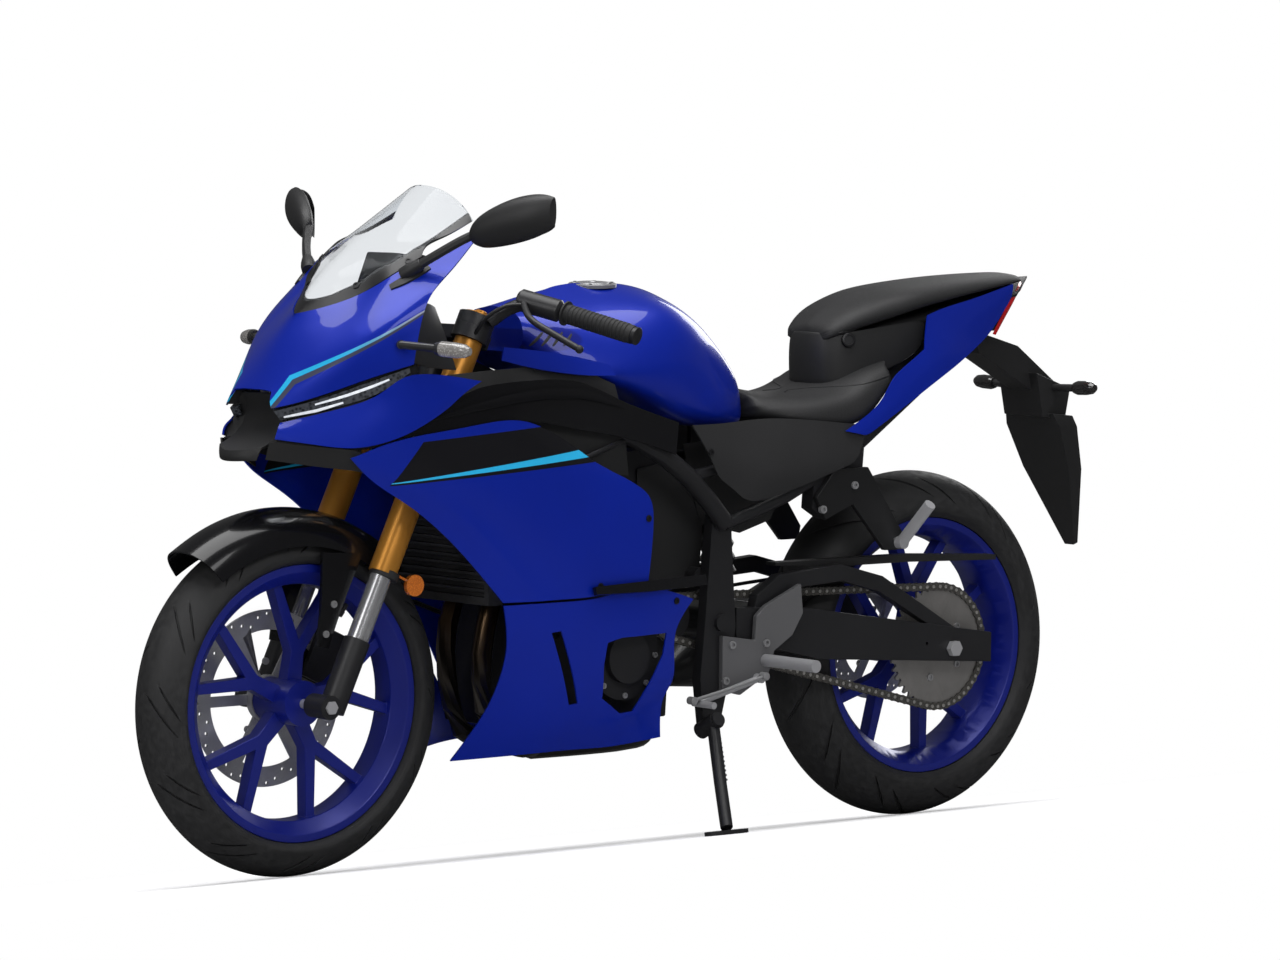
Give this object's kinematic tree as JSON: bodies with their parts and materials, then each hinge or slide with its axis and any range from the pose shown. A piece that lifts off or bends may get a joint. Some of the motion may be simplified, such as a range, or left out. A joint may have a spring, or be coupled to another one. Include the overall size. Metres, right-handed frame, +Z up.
{
  "type": "sport bike",
  "caption": "Full-fairing sport motorcycle that leans on its side stand, with turning wheels, steering and a folding stand.",
  "frame": {"origin": "on the floor, under the middle of the parked bike's box", "axes": "+X forward, +Y to the bike's left, +Z up from the floor; the bike leans 9 degrees to its left on its side stand"},
  "size_m": [2.0965, 0.7674, 1.1814],
  "materials": {
    "body_blue": "gloss",
    "gloss_black": "gloss",
    "black_plastic": "textured",
    "grey_plastic": "textured",
    "frame_black": "satin",
    "wheel_blue": "gloss",
    "engine_metal": "satin",
    "steel": "satin",
    "chrome_tube": "polished",
    "fork_gold": "satin",
    "tyre_rubber": "matte",
    "grip_rubber": "matte",
    "seat_cover": "matte",
    "screen_clear": "gloss",
    "lamp_clear": "gloss",
    "lamp_red": "gloss",
    "lamp_amber": "gloss",
    "mirror_face": "polished"
  },
  "bodies": {
    "chassis": {"frame": "frame_black", "cowl_stay": "frame_black", "engine": "engine_metal", "engine_covers": "engine_metal", "radiator": "frame_black", "exhaust": "steel", "muffler": "frame_black", "swingarm": "frame_black", "rear_shock": "frame_black", "rear_axle": "steel", "rear_caliper": "engine_metal", "chain": "steel", "chain_guard": "black_plastic", "fuel_tank": "body_blue", "rider_seat": "seat_cover", "pillion_seat": "seat_cover", "tail_panels": "body_blue", "tail_centre": "black_plastic", "tail_light": "lamp_red", "plate_holder": "black_plastic", "rear_indicators": "lamp_amber", "side_covers": "grey_plastic", "nose_cowl": "body_blue", "windscreen": "screen_clear", "nose_duct": "black_plastic", "headlamps": "lamp_clear", "side_fairings": "body_blue", "lower_cowls": "body_blue", "accent_panels": "gloss_black", "dash_panels": "black_plastic", "instrument": "black_plastic", "mirrors": "black_plastic", "mirror_glass": "mirror_face", "front_indicators": "lamp_amber", "foot_brackets": "engine_metal", "foot_pegs": "steel"},
    "steering": {"triple_clamps": "frame_black", "fork_outers": "fork_gold", "fork_inners": "chrome_tube", "fork_bottoms": "frame_black", "front_axle": "steel", "front_mudguard": "gloss_black", "front_caliper": "engine_metal", "bars": "frame_black", "grips": "grip_rubber", "hand_levers": "frame_black", "reflectors": "lamp_amber"},
    "front_wheel": {"front_tyre": "tyre_rubber", "front_rim": "wheel_blue", "front_disc": "steel"},
    "rear_wheel": {"rear_tyre": "tyre_rubber", "rear_rim": "wheel_blue", "rear_disc": "steel", "rear_sprocket": "steel"},
    "side_stand": {"side_stand": "frame_black"}
  },
  "joints": [
    {"name": "steering", "type": "hinge", "parent": "chassis", "child": "steering", "pos_m": [0.47602, -0.03078, 0.79373], "axis": [-0.4226, 0.1418, 0.8951], "range_deg": [-34, 34]},
    {"name": "front_wheel", "type": "hinge", "parent": "steering", "child": "front_wheel", "pos_m": [0.75533, -0.11051, 0.29029], "axis": [0, 0.9877, -0.1564], "continuous": true},
    {"name": "rear_wheel", "type": "hinge", "parent": "chassis", "child": "rear_wheel", "pos_m": [-0.62467, -0.10723, 0.31103], "axis": [0, 0.9877, -0.1564], "continuous": true},
    {"name": "side_stand", "type": "hinge", "parent": "chassis", "child": "side_stand", "pos_m": [-0.03817, 0.02019, 0.18859], "axis": [0, 0.9455, 0.3256], "range_deg": [0, 100]}
  ]
}
